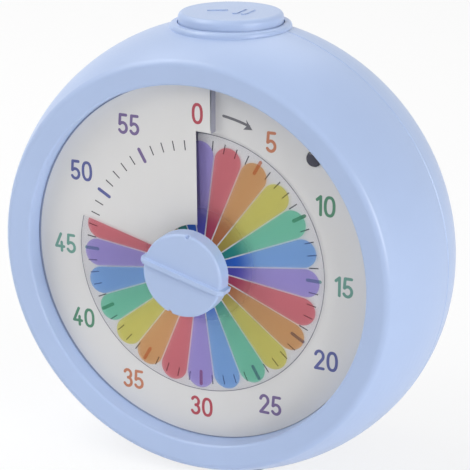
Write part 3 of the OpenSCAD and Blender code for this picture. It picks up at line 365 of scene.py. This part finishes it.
SHELL_BLUE = srgb(171, 190, 225)
CARD_WHITE = srgb(215, 214, 213)
FILM_WHITE = srgb(225, 226, 232)
PRINT_AND_SHADE_COLOURS = {
    "red": srgb(172, 66, 80),
    "orange": srgb(190, 121, 90),
    "green": srgb(75, 131, 103),
    "teal": srgb(102, 151, 139),
    "indigo": srgb(84, 90, 147),
    "purple": srgb(112, 94, 141),
    "grey": srgb(60, 58, 66),
    "arrow": srgb(104, 104, 110),
    # The last two are painted shade, not print: the riser's grey for the shade under the slit's high edge,
    # and the rim's blue grey for the shadow of the gap between the card's edge and the wall.
    "riser_painted_shade": srgb(150, 150, 162),
    "rim": srgb(140, 150, 175),
}
PETAL_COLOURS = {
    "red": srgb(194, 104, 112),
    "orange": srgb(194, 140, 96),
    "yellow": srgb(188, 177, 96),
    "green": srgb(106, 174, 150),
    "blue": srgb(112, 149, 229),
    "purple": srgb(142, 131, 203),
}
PETAL_COLOURS_AT_HUB = {
    "red": srgb(179, 69, 101),
    "orange": srgb(184, 116, 76),
    "yellow": srgb(174, 157, 76),
    "green": srgb(39, 141, 138),
    "blue": srgb(42, 101, 206),
    "purple": srgb(85, 82, 188),
}

SLOT_MATERIALS = {
    "shell_plastic": moulded("shell_plastic", SHELL_BLUE, 0.34, spread=0.015),
    "inner_plastic": moulded("inner_plastic", srgb(226, 226, 224), 0.5),
    "dial_print": moulded("dial_print", CARD_WHITE, 0.6, spread=0.01),
    "disc_film": see_through("disc_film", FILM_WHITE, srgb(252, 252, 253), 0.03),
    "gear_plastic": moulded("gear_plastic", srgb(238, 236, 226), 0.42),
    "dark_plastic": moulded("dark_plastic", srgb(58, 58, 61), 0.5),
    "steel": metal("steel", srgb(205, 207, 210), 0.3),
    "motor_can": metal("motor_can", srgb(212, 214, 217), 0.35, (12, 12, 1)),
    "brass": metal("brass", srgb(226, 203, 146), 0.28),
    "board": board("board", srgb(38, 104, 66), srgb(52, 134, 88)),
    "lamp_lens": moulded("lamp_lens", srgb(52, 52, 68), 0.2, relief=0.02),
    "cell_jacket": sleeve("cell_jacket", srgb(84, 88, 98), srgb(196, 146, 92), 12.0),
    "foot_rubber": moulded("foot_rubber", srgb(72, 72, 75), 0.8, grain_mm=0.4, relief=0.3),
}


def dress_cad():
    """Gives each CAD node the material of its slot."""
    slots = {part["node"]: part["material_slot"] for part in frame["record"]["subparts"]}
    for name, node in frame["nodes"].items():
        node.data.materials[0] = SLOT_MATERIALS[slots[name]]


# Dial card and rainbow disc

def arc(x, y, wide, tall, start, end, steps=14):
    """Points of an ellipse from one angle to another, anticlockwise from the right."""
    turns = [math.radians(start + (end - start) * i / steps) for i in range(steps + 1)]
    return [(x + wide * math.cos(t), y + tall * math.sin(t)) for t in turns]


# Centre lines of the digits, with the digit's height as 1 and its left edge near 0.
STROKES = {
    "1": [[(0.06, 0.77), (0.24, 0.935), (0.24, 0.065)]],
    "2": [arc(0.26, 0.69, 0.20, 0.245, 165, -38) + [(0.065, 0.065), (0.47, 0.065)]],
    "3": [arc(0.25, 0.72, 0.18, 0.215, 155, -85), arc(0.25, 0.295, 0.20, 0.23, 85, -155)],
    "4": [[(0.35, 0.935), (0.065, 0.285), (0.50, 0.285)], [(0.38, 0.50), (0.38, 0.065)]],
    "5": [[(0.44, 0.935), (0.12, 0.935), (0.085, 0.475)], arc(0.25, 0.31, 0.21, 0.245, 138, -150)],
}
ZERO_WIDE = 0.22
ZERO_TALL = 0.435
ZERO_SQUARE = 0.85    # under 1 fills the oval's shoulders


def oval(x, y, wide, tall, steps=36):
    """Anticlockwise oval with full shoulders."""
    points = []
    for i in range(steps):
        c = math.cos(2 * math.pi * i / steps)
        s = math.sin(2 * math.pi * i / steps)
        across = wide * math.copysign(abs(c) ** ZERO_SQUARE, c)
        up = tall * math.copysign(abs(s) ** ZERO_SQUARE, s)
        points.append((x + across, y + up))
    return points


def spoke(point, reach, angle):
    """Point at a distance from another, in a direction in radians."""
    return (point[0] + reach * math.cos(angle), point[1] + reach * math.sin(angle))


def fan(point, radius, start, end, steps=8):
    """Points on a circle between two angles in radians, without the ends."""
    return [spoke(point, radius, start + (end - start) * i / steps) for i in range(1, steps)]


SHARP_TURN = 0.5    # radians from which a stroke's outer corner is rounded


def ribbon(line, half):
    """Anticlockwise outline of a stroke of even width with round ends and corners."""
    quarter = math.pi / 2
    headings = [math.atan2(b[1] - a[1], b[0] - a[0]) for a, b in zip(line, line[1:])]
    first = headings[0]
    last = headings[-1]
    left = [spoke(line[0], half, first + quarter)]
    right = [spoke(line[0], half, first - quarter)]
    for point, before, after in zip(line[1:], headings, headings[1:]):
        turn = (after - before + math.pi) % (2 * math.pi) - math.pi
        reach = half / math.cos(turn / 2)
        for side, facing in ((left, quarter), (right, -quarter)):
            if facing * turn >= 0 or abs(turn) < SHARP_TURN:
                side.append(spoke(point, reach, before + turn / 2 + facing))
            else:
                side.extend(fan(point, half, before + facing, before + turn + facing))
    left.append(spoke(line[-1], half, last + quarter))
    right.append(spoke(line[-1], half, last - quarter))
    end_cap = fan(line[-1], half, last - quarter, last + quarter)
    start_cap = fan(line[0], half, first + quarter, first + 3 * quarter)
    return right + end_cap + left[::-1] + start_cap


def digit(character):
    """Outlines of a digit one unit tall, each with the outline of its counter or None."""
    half = NUMERAL_STROKE / 2
    if character == "0":
        x = ZERO_WIDE + half
        outer = oval(x, 0.5, ZERO_WIDE + half, ZERO_TALL + half)
        inner = oval(x, 0.5, ZERO_WIDE - half, ZERO_TALL - half)
        return [(outer, inner)]
    return [(ribbon(line, half), None) for line in STROKES[character]]


def numeral(text, x, y):
    """Outlines of a numeral centred on a point of the dial."""
    placed = []
    pen = 0.0
    for character in text:
        shapes = digit(character)
        low = min(p[0] for outline, _ in shapes for p in outline)
        high = max(p[0] for outline, _ in shapes for p in outline)
        placed.append((shapes, pen - low))
        pen += high - low + NUMERAL_SPACE
    middle = (pen - NUMERAL_SPACE) / 2

    def move(outline, shift):
        return [(x + (px + shift - middle) * NUMERAL_H, y + (py - 0.5) * NUMERAL_H) for px, py in outline]

    return [
        (move(outline, shift), counter and move(counter, shift))
        for shapes, shift in placed
        for outline, counter in shapes
    ]


def radial(points, degrees):
    """Points given as (distance outwards, distance to the right) along a radius of the dial."""
    along = polar(1, degrees)
    across = (along[1], -along[0])
    return [(r * along[0] + s * across[0], r * along[1] + s * across[1]) for r, s in points]


def bar(inner, outer, half, degrees):
    """Anticlockwise outline of a radial bar."""
    return radial(((inner, -half), (inner, half), (outer, half), (outer, -half)), degrees)


def round_bar(inner, outer, half, degrees):
    """Outline of a radial bar with round ends."""
    return ribbon([polar(inner + half, degrees), polar(outer - half, degrees)], half)


def anticlockwise(outline):
    """The outline, turned round if it runs clockwise."""
    area = sum(a[0] * b[1] - b[0] * a[1] for a, b in zip(outline, outline[1:] + outline[:1]))
    return outline if area > 0 else outline[::-1]


def slit_angle(radius):
    """Angle of the card's slit at a radius: at the top for the inner part, at SLIT_X for the outer."""
    if radius < SLIT_R + SLIT_STEP / 2:
        return 0.0
    return math.degrees(math.asin(SLIT_X / radius))


def card_place(x, y):
    """Place of a plan point on the card, which climbs from the slit right round to it.

    The low edge is drawn under the high edge at the inner part of the slit, and up to it at the outer part.
    """
    radius = math.hypot(x, y)
    slit = slit_angle(radius)
    turn = math.degrees(math.atan2(x, y)) % 360
    if turn < slit:
        turn += 360
    at_edge = turn - slit < LOW_EDGE_TO
    inside = radius < SLIT_R + SLIT_STEP / 2
    if at_edge and inside:
        turn -= TUCK
        x, y = polar(radius, turn)
    z = RISE * (turn / 360 - 0.5)
    if at_edge and not inside:
        z += RISE - RISER_GAP
    if not inside and turn - slit < RISER_REACH:
        x -= RISER_SHIFT
    return (x, y, z)


def film_place(x, y):
    """Place of a plan point on the disc, which climbs from its low edge right round to its high edge."""
    turn = math.degrees(math.atan2(x, y)) % 360
    if turn > (FILM_TO + FILM_FROM + 360) / 2:
        turn -= 360
    return (x, y, RISE * (turn / 360 - 0.5) + FILM_LEAD)


def sweep(radius, start, end, step=2.0):
    """Points on a circle of the dial from one angle to another."""
    steps = max(1, round(abs(end - start) / step))
    return [polar(radius, start + (end - start) * i / steps) for i in range(steps + 1)]


def riser_edge():
    """Ends of the low edge at the outer part of the slit, from the step to the rim."""
    return [polar(radius, slit_angle(radius) + HALF_SLIT) for radius in (SLIT_R + SLIT_STEP, CARD_R)]


def card_outline():
    """Outline of the card, with the stepped slit."""
    high_r = SLIT_R + SLIT_STEP
    outer_turn = slit_angle(CARD_R)
    outline = sweep(CARD_R, outer_turn + HALF_SLIT, outer_turn + 360 - HALF_SLIT)
    outline += sweep(high_r, slit_angle(high_r) - HALF_SLIT, -HALF_SLIT)
    outline += sweep(CARD_BORE_R, 360 - HALF_SLIT, HALF_SLIT, RING_STEP)
    outline += sweep(SLIT_R, HALF_SLIT, slit_angle(high_r) + HALF_SLIT)
    outline.append(riser_edge()[0])
    return anticlockwise(outline)


def film_outline():
    """Outline of the disc, cut open along its edges."""
    return anticlockwise(sweep(FILM_R, FILM_FROM, FILM_TO) + sweep(FILM_BORE_R, FILM_TO, FILM_FROM, 6.0))


def petal(degrees):
    """Outline of a petal: a sector with a round end, narrower than its share of the turn by the gap."""
    slope = math.radians(180 / PETAL_COUNT)
    end_at = PETAL_TIP_R - PETAL_END_R
    half_end = end_at * math.sin(slope) - PETAL_GAP
    half_root = PETAL_ROOT_R * math.tan(slope) - PETAL_GAP / math.cos(slope)
    lean = 90 + 180 / PETAL_COUNT
    end = arc(end_at, 0, PETAL_END_R, half_end, lean, -lean, PETAL_END_STEPS)
    root = Vector((PETAL_ROOT_R, half_root))
    side = [tuple(root.lerp(Vector(end[0]), i / PETAL_STEPS)) for i in range(PETAL_STEPS)]
    other_side = [(r, -s) for r, s in reversed(side)]
    placed = radial(side + end + other_side, degrees)
    return anticlockwise([(x, y - PETAL_DROP) for x, y in placed])


INSIDE_SHAPES = 1         # the triangulation's mode that gives only what lies inside the shapes
SAME_POINT = 1e-5         # points nearer than this are one point, in mm
SHARP_EDGE = math.radians(30)


def cut_sheet(name, outline, holes, regions, grid, place, thickness, materials):
    """Closed thin sheet over a plan outline, lifted to its place, with its front cut into inked regions.

    Each region is (material index, outline, counter or None); the rest takes the first material.
    """
    points = []
    shapes = []

    def add(shape):
        shapes.append(list(range(len(points), len(points) + len(shape))))
        points.extend(shape)
        return len(shapes) - 1

    sheet = add(outline)
    open_shapes = {add(hole) for hole in holes}
    inked = {}
    counters = {}
    for index, shape, counter in regions:
        key = add(shape)
        inked[key] = index
        if counter is not None:
            counters[key] = add(counter)
    points.extend(grid)
    flat = [Vector(p) for p in points]
    plan, _, triangles, _, _, owners = delaunay_2d_cdt(flat, [], shapes, INSIDE_SHAPES, SAME_POINT)

    faces = []
    inks = []
    for triangle, inside in zip(triangles, owners):
        held = set(inside)
        if sheet not in held or held & open_shapes:
            continue
        ink = 0
        for key in held & inked.keys():
            if counters.get(key) not in held:
                ink = inked[key]
        faces.append(tuple(triangle))
        inks.append(ink)

    edges = [(a, b) for face in faces for a, b in zip(face, face[1:] + face[:1])]
    known = set(edges)
    rim = [(a, b) for a, b in edges if (b, a) not in known]

    count = len(plan)
    places = [place(x, y) for x, y in plan]
    front = [row(x, y, z + thickness / 2) for x, y, z in places]
    back = [row(x, y, z - thickness / 2) for x, y, z in places]
    backs = [tuple(v + count for v in reversed(face)) for face in faces]
    walls = [(b, a, a + count, b + count) for a, b in rim]
    mesh = bpy.data.meshes.new(name)
    mesh.from_pydata(front + back, [], faces + backs + walls)
    for made in materials:
        mesh.materials.append(made)
    for polygon, ink in zip(mesh.polygons, inks):
        polygon.material_index = ink
    mesh.polygons.foreach_set("use_smooth", [True] * len(mesh.polygons))
    mesh.set_sharp_from_angle(angle=SHARP_EDGE)
    mesh.validate()
    return mesh


def put(mesh, name, body, node):
    """Puts a finished mesh in the place of a CAD node."""
    piece = bpy.data.objects.new(name, mesh)
    bpy.context.scene.collection.objects.link(piece)
    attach(piece, body)
    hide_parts(node)
    return piece


def make_card():
    """The printed dial card: numerals, ticks, the arrow beside the 0, the riser at the slit painted in shade
    grey, and a line of painted shade along the card's edge.
    """
    names = list(PRINT_AND_SHADE_COLOURS)
    inks = [moulded("print_and_shade_" + name, PRINT_AND_SHADE_COLOURS[name], 0.5, relief=0.05, spread=0.05) for name in names]
    regions = []
    for minute in range(1, 60):
        if minute % 5 == 0:
            ink = NUMERALS[minute // 5][3]
            tick = round_bar(*LONG_TICK, minute * 6)
        else:
            ink = "grey"
            tick = bar(*SHORT_TICK, minute * 6)
        regions.append((names.index(ink) + 1, tick, None))
    for text, x, y, ink in NUMERALS:
        for outline, counter in numeral(text, x, y):
            regions.append((names.index(ink) + 1, outline, counter))
    shaft = ribbon(sweep(ARROW_R, ARROW_FROM, ARROW_TO), ARROW_HALF)
    head = anticlockwise([polar(radius, degrees) for radius, degrees in ARROW_HEAD])
    regions.append((names.index("arrow") + 1, shaft, None))
    regions.append((names.index("arrow") + 1, head, None))
    # A line of painted shade round the card's edge, widest at the lower left, for the shadow of the gap
    # between card and wall.
    plain = circle(*polar(-CARD_SHADE_OFF, CARD_SHADE_AT), CARD_R - CARD_SHADE_LINE, RIM_STEPS)
    regions.append((names.index("rim") + 1, circle(0, 0, CARD_R + 1, RIM_STEPS), plain))
    # The riser is painted grey for the shade it lies in under the slit's high edge.
    low, high = riser_edge()
    riser_painted_shade = [low, (low[0] + RISER_FOOT, low[1]), (high[0] + RISER_FOOT, high[1]), high]
    regions.append((names.index("riser_painted_shade") + 1, riser_painted_shade, None))
    grid = []
    for radius in CARD_RINGS:
        slit = slit_angle(radius)
        grid += sweep(radius, slit + RING_STEP, slit + 360 - RING_STEP, RING_STEP)
    lamp_hole = circle(*polar(*LAMP_AT), LAMP_HOLE_R, 32)
    mesh = cut_sheet("dial_card_print", card_outline(), [lamp_hole], regions, grid, card_place, CARD_T,
                     [SLOT_MATERIALS["dial_print"]] + inks)
    put(mesh, "dial_card_print", "case", "dial_card")


def make_film():
    """The rainbow disc: clear film with petals of ink and a grey line of painted shade at its rim."""
    thicken_near_hub(SLOT_MATERIALS["disc_film"], FILM_WHITE, PETAL_COVER_AT_HUB)
    names = list(PETAL_COLOURS)
    inks = []
    for name in names:
        colour = PETAL_COLOURS[name]
        tint = tuple(min(1.0, math.sqrt(TINT_GAIN * c)) for c in colour)
        made = see_through("petal_" + name, colour, tint, PETAL_COVER)
        thicken_near_hub(made, PETAL_COLOURS_AT_HUB[name], PETAL_COVER_AT_HUB)
        inks.append(made)
    # The grey line at the rim is painted shade, for the shadow along the film's edge.
    line = see_through("film_rim_shade", srgb(120, 120, 130), srgb(190, 190, 200), 0.5)
    clear = circle(0, 0, FILM_R - FILM_RIM_SHADE, RIM_STEPS)
    regions = [(len(names) + 1, circle(0, 0, FILM_R + 1, RIM_STEPS), clear)]
    for k in range(PETAL_COUNT):
        ink = names.index(PETAL_ORDER[k % len(PETAL_ORDER)]) + 1
        regions.append((ink, petal(k * 360 / PETAL_COUNT), None))
    grid = []
    for radius in FILM_RINGS:
        grid += sweep(radius, FILM_FROM + RING_STEP / 2, FILM_TO - RING_STEP / 2, RING_STEP)
    mesh = cut_sheet("rainbow_disc", film_outline(), [], regions, grid, film_place, FILM_T,
                     [SLOT_MATERIALS["disc_film"]] + inks + [line])
    put(mesh, "rainbow_disc", "setting", "colour_film")


def adjust_solid(mesh):
    """Widens the fin of the knob's solid and moves its dimple along the rim."""
    across = polar(1, FIN_AT + 90)
    for vertex in mesh.vertices:
        x, y, z = dial(vertex.co)
        side = x * across[0] + y * across[1]
        if abs(abs(side) - FIN_HALF) < FIN_NEAR:
            out = math.copysign(FIN_WIDER, side)
            x += out * across[0]
            y += out * across[1]
        radius = math.hypot(x, y)
        turn = math.degrees(math.atan2(x, y))
        off = (turn - DIMPLE_AT) / DIMPLE_REACH
        if radius > DIMPLE_FROM * KNOB_R and abs(off) < 1:
            x, y = polar(radius, turn + DIMPLE_TURN * swell(off))
        vertex.co = row(x, y, z)


def press_notch(mesh):
    """Presses the rounded notch into the front of the knob's rim.

    It runs out over the lower half of its reach, and over its own depth further in.
    """
    for vertex in mesh.vertices:
        x, y, z = dial(vertex.co)
        radius = math.hypot(x, y)
        turn = math.degrees(math.atan2(x, y)) - NOTCH_AT
        along = math.radians((turn + 180) % 360 - 180) * radius / NOTCH_HALF
        below = (KNOB_FRONT - z) / NOTCH_DEEP
        from_inside = (radius - KNOB_R) / NOTCH_IN + 2
        if abs(along) < 1 and below < 1 and from_inside > 0:
            deep = NOTCH_IN * min(1.0, from_inside) * swell(along) * min(1.0, 2 - 2 * below)
            x *= 1 - deep / radius
            y *= 1 - deep / radius
            vertex.co = row(x, y, z)


def evaluated(piece):
    """Mesh of an object with its modifiers applied."""
    graph = bpy.context.evaluated_depsgraph_get()
    return bpy.data.meshes.new_from_object(piece.evaluated_get(graph))


def make_knob():
    """The knob with the soft edges of a moulding, made from its CAD solid."""
    source = frame["nodes"]["knob"]
    rough = bpy.data.objects.new("knob_solid", source.data.copy())
    adjust_solid(rough.data)
    bpy.context.scene.collection.objects.link(rough)
    weld = rough.modifiers.new("weld", "WELD")
    weld.merge_threshold = KNOB_WELD * MM
    even = rough.modifiers.new("even", "REMESH")
    even.mode = "VOXEL"
    even.voxel_size = KNOB_VOXEL * MM
    soften = rough.modifiers.new("soften", "SMOOTH")
    soften.factor = KNOB_PASS
    soften.iterations = KNOB_PASSES
    rough.data = evaluated(rough)
    rough.modifiers.clear()
    press_notch(rough.data)
    thin = rough.modifiers.new("thin", "DECIMATE")
    thin.ratio = KNOB_KEPT
    mesh = evaluated(rough)
    bpy.data.objects.remove(rough)
    mesh.name = "knob_soft"
    mesh.materials.clear()
    mesh.materials.append(SLOT_MATERIALS["shell_plastic"])
    mesh.polygons.foreach_set("use_smooth", [True] * len(mesh.polygons))
    put(mesh, "knob_soft", "setting", "knob")


def make_spring():
    """The button's spring, put in place of its CAD node as a mesh of its own."""
    mesh = frame["nodes"]["button_spring"].data.copy()
    piece = put(mesh, "button_spring_coil", "case", "button_spring")
    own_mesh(piece)


# Stage, light and camera

IMAGE_PX = 470              # width of the picture
FOCAL_PX = 1791.83
CAMERA_AZIMUTH = 27.183     # degrees to the right of the dial's axis
CAMERA_HEIGHT = 19.257      # degrees over the dial's centre
CAMERA_ROLL = -0.608        # degrees
CAMERA_DISTANCE = 0.5483    # metres from the dial's centre
AIM_PX = (34.955, 28.967)   # the picture's middle lies this far right of and above the dial's centre


AMBIENT = 0.24          # strength of the even light from all round
LIGHT_SIZE = 0.8        # metres
LIGHTS = (              # name, place in metres, power in watts
    ("key", (-1.0, -0.9, 0.95), 6.9),
    ("right", (1.5, -0.5, 0.35), 16.2),
    ("top_left", (-0.8, -0.3, 1.4), 8.9),
    ("high_left", (-0.9, 0.3, 1.3), 3.3),
    ("high_rear", (-0.2, 0.9, 1.2), 2.6),
    ("front", (0.2, -1.3, 1.0), 0.8),
)
FLOOR_HALF = 4.0        # metres
FLOOR_WHITE = (0.97, 0.97, 0.97)
FLOOR_GLOW = 0.8        # share of an even white in what is seen of the floor; the rest keeps the shadow


def make_camera():
    """Camera that sees the timer as the photo does."""
    azimuth = math.radians(CAMERA_AZIMUTH)
    height = math.radians(CAMERA_HEIGHT)
    roll = math.radians(CAMERA_ROLL)
    back = Vector((
        math.sin(azimuth) * math.cos(height),
        -math.cos(azimuth) * math.cos(height),
        math.sin(height),
    ))
    level = (-back).cross(Vector((0, 0, 1))).normalized()
    upright = level.cross(-back)
    right = math.cos(roll) * level + math.sin(roll) * upright
    up = math.cos(roll) * upright - math.sin(roll) * level
    forward = (-FOCAL_PX * back + AIM_PX[0] * right + AIM_PX[1] * up).normalized()
    side = forward.cross(up).normalized()
    above = side.cross(forward)
    turn = Matrix((side, above, -forward)).transposed().to_4x4()
    data = bpy.data.cameras.new("camera")
    data.sensor_width = 36.0
    data.lens = FOCAL_PX / IMAGE_PX * data.sensor_width
    data.clip_start = 0.01
    camera = bpy.data.objects.new("camera", data)
    camera.matrix_world = Matrix.Translation(row(0, 0, 0) + back * CAMERA_DISTANCE) @ turn
    bpy.context.scene.collection.objects.link(camera)
    bpy.context.scene.camera = camera


def area_light(name, place, power):
    """Soft square light that faces the timer."""
    data = bpy.data.lights.new(name, "AREA")
    data.shape = "SQUARE"
    data.size = LIGHT_SIZE
    data.energy = power
    light = bpy.data.objects.new(name, data)
    light.location = place
    light.rotation_euler = (row(0, 0, 0) - Vector(place)).to_track_quat("-Z", "Y").to_euler()
    bpy.context.scene.collection.objects.link(light)


def seen_directly(tree):
    """Socket that is 1 for what the camera sees, also in a mirror or through glass, and 0 for other light."""
    path = tree.nodes.new("ShaderNodeLightPath")
    seen = path.outputs["Is Camera Ray"]
    for ray in ("Is Glossy Ray", "Is Transmission Ray"):
        either = tree.nodes.new("ShaderNodeMath")
        either.operation = "MAXIMUM"
        tree.links.new(seen, either.inputs[0])
        tree.links.new(path.outputs[ray], either.inputs[1])
        seen = either.outputs["Value"]
    return seen


def make_world():
    """White to the camera and in mirrors and glass, and an even ambient light to everything else."""
    world = bpy.data.worlds.new("studio")
    world.use_nodes = True
    bpy.context.scene.world = world
    tree = world.node_tree
    soft = tree.nodes["Background"]
    soft.inputs["Color"].default_value = (1, 1, 1, 1)
    soft.inputs["Strength"].default_value = AMBIENT
    white = tree.nodes.new("ShaderNodeBackground")
    white.inputs["Color"].default_value = (1, 1, 1, 1)
    white.inputs["Strength"].default_value = 1.0
    mix = tree.nodes.new("ShaderNodeMixShader")
    tree.links.new(seen_directly(tree), mix.inputs["Fac"])
    tree.links.new(soft.outputs["Background"], mix.inputs[1])
    tree.links.new(white.outputs["Background"], mix.inputs[2])
    tree.links.new(mix.outputs["Shader"], tree.nodes["World Output"].inputs["Surface"])


def make_floor():
    """Pale floor, near white to the camera, that keeps the timer's shadow."""
    mesh = bpy.data.meshes.new("floor")
    corners = [(FLOOR_HALF * x, FLOOR_HALF * y, 0) for x, y in ((-1, -1), (1, -1), (1, 1), (-1, 1))]
    mesh.from_pydata(corners, [], [(0, 1, 2, 3)])
    made = moulded("floor", FLOOR_WHITE, 0.9, grain_mm=4.0, relief=0.0, spread=0.005)
    tree = made.node_tree
    glow = tree.nodes.new("ShaderNodeEmission")
    glow.inputs["Color"].default_value = (1, 1, 1, 1)
    glow.inputs["Strength"].default_value = 1.0
    share = tree.nodes.new("ShaderNodeMath")
    share.operation = "MULTIPLY"
    share.inputs[1].default_value = FLOOR_GLOW
    mix = tree.nodes.new("ShaderNodeMixShader")
    tree.links.new(seen_directly(tree), share.inputs[0])
    tree.links.new(share.outputs["Value"], mix.inputs["Fac"])
    tree.links.new(tree.nodes["Principled BSDF"].outputs["BSDF"], mix.inputs[1])
    tree.links.new(glow.outputs["Emission"], mix.inputs[2])
    tree.links.new(mix.outputs["Shader"], tree.nodes["Material Output"].inputs["Surface"])
    mesh.materials.append(made)
    floor = bpy.data.objects.new("floor", mesh)
    bpy.context.scene.collection.objects.link(floor)


dress_cad()
make_card()
make_film()
make_knob()
make_spring()
make_floor()
make_world()
for light in LIGHTS:
    area_light(*light)
make_camera()
bpy.context.scene.view_settings.view_transform = "Standard"
